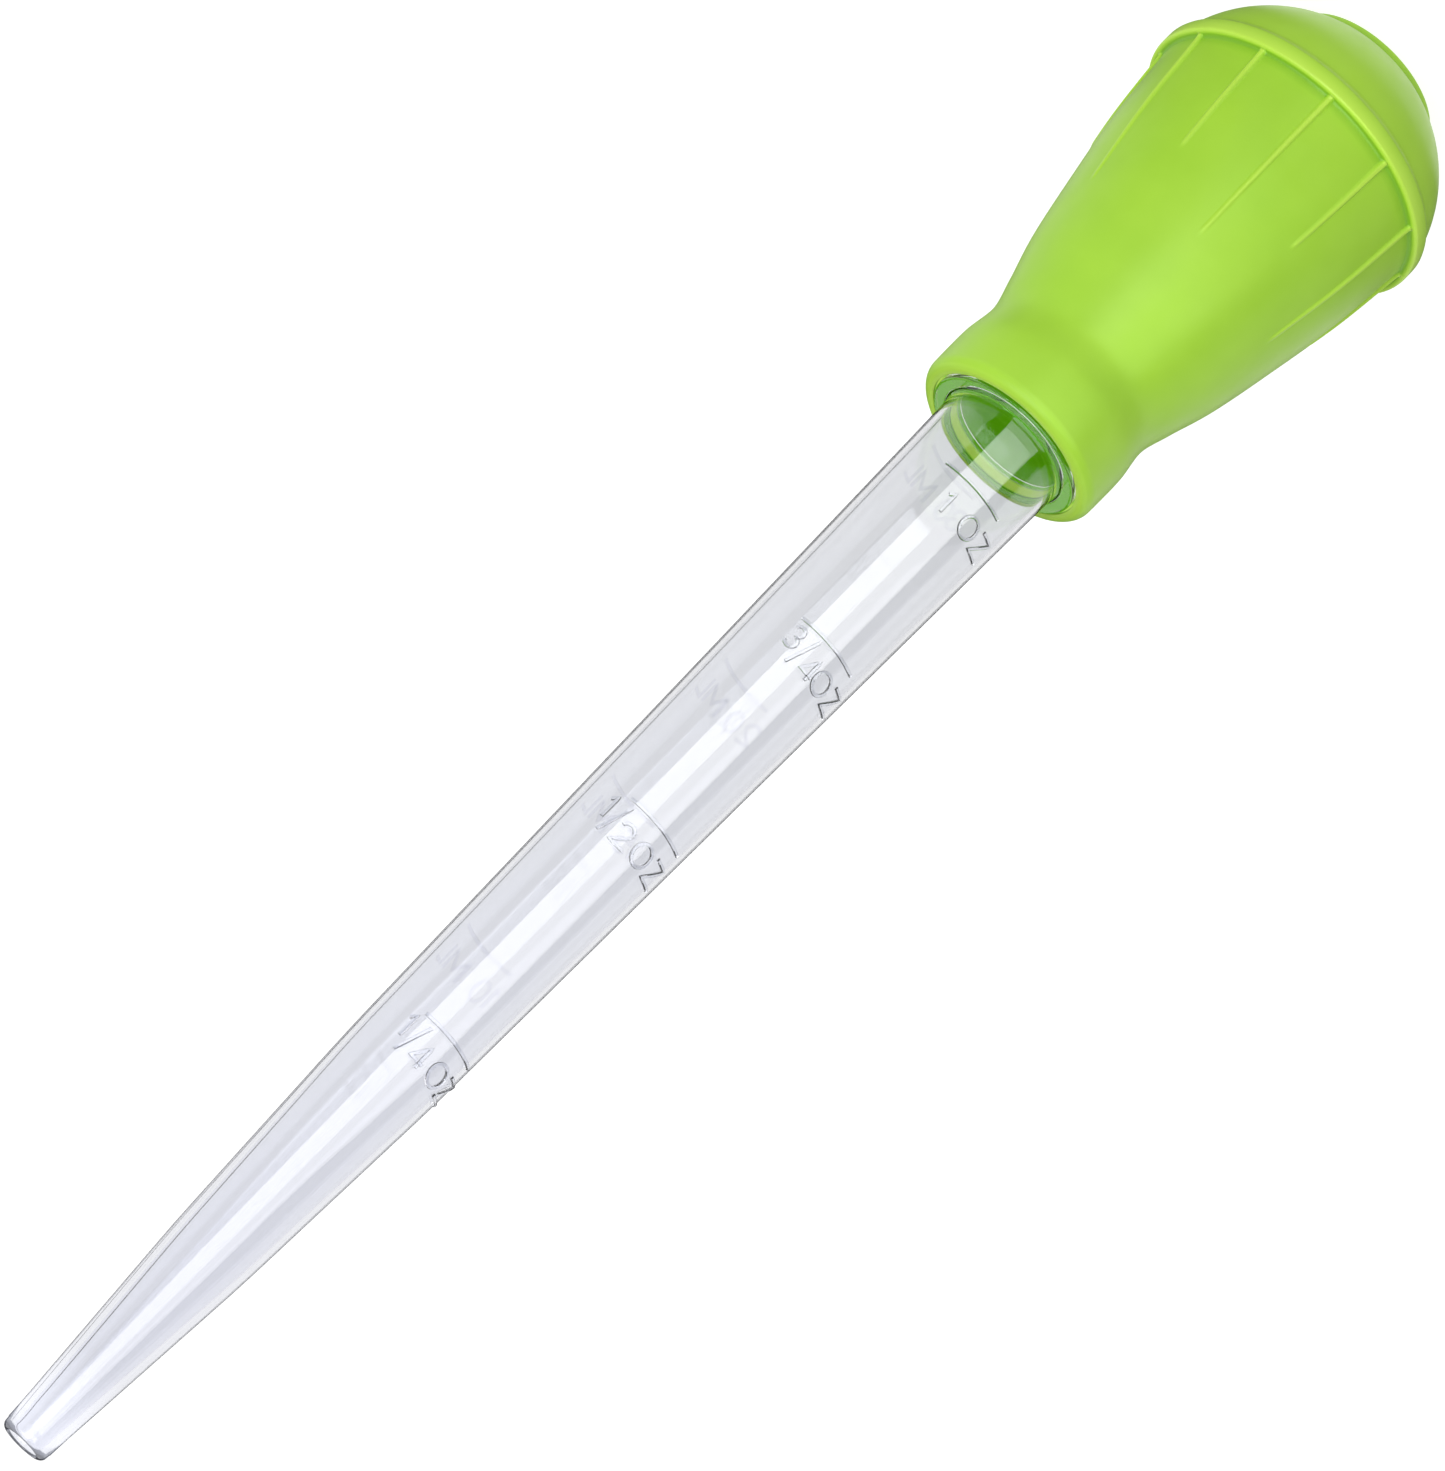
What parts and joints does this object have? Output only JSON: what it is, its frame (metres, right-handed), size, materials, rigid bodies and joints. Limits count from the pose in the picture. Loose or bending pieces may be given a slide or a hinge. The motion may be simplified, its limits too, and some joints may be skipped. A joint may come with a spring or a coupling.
{
  "type": "turkey baster",
  "caption": "Squeeze-bulb baster: a soft ribbed bulb on a clear, tapered, graduated tube with a flange; the bulb's walls press in and the tube pulls out.",
  "frame": {"origin": "centre of the flat foot on the bulb's crown, on which the part stands", "axes": "+Z along the axis from the crown to the tube's tip; the two pressed walls of the bulb face -Y and +Y"},
  "size_m": [0.0496, 0.0496, 0.28],
  "materials": {
    "bulb_silicone": "satin lime green silicone",
    "tube_plastic": "clear, glossy, faint cool tint"
  },
  "bodies": {
    "bulb": {"bulb_shell": "bulb_silicone"},
    "tube": {"tube": "tube_plastic"},
    "grip_front": {"grip_wall_front": "bulb_silicone"},
    "grip_back": {"grip_wall_back": "bulb_silicone"}
  },
  "joints": [
    {"name": "tube_pull", "type": "slide", "parent": "bulb", "child": "tube", "axis": [0, 0, 1], "range_m": [0, 0.035]},
    {"name": "squeeze_front", "type": "slide", "parent": "bulb", "child": "grip_front", "axis": [0, 1, 0], "range_m": [0, 0.007], "stiffness_N_per_m": 800},
    {"name": "squeeze_back", "type": "slide", "parent": "bulb", "child": "grip_back", "axis": [0, -1, 0], "range_m": [0, 0.007], "stiffness_N_per_m": 800}
  ],
  "couplings": [
    {"joint": "squeeze_back", "follows": "squeeze_front", "ratio": 1}
  ]
}
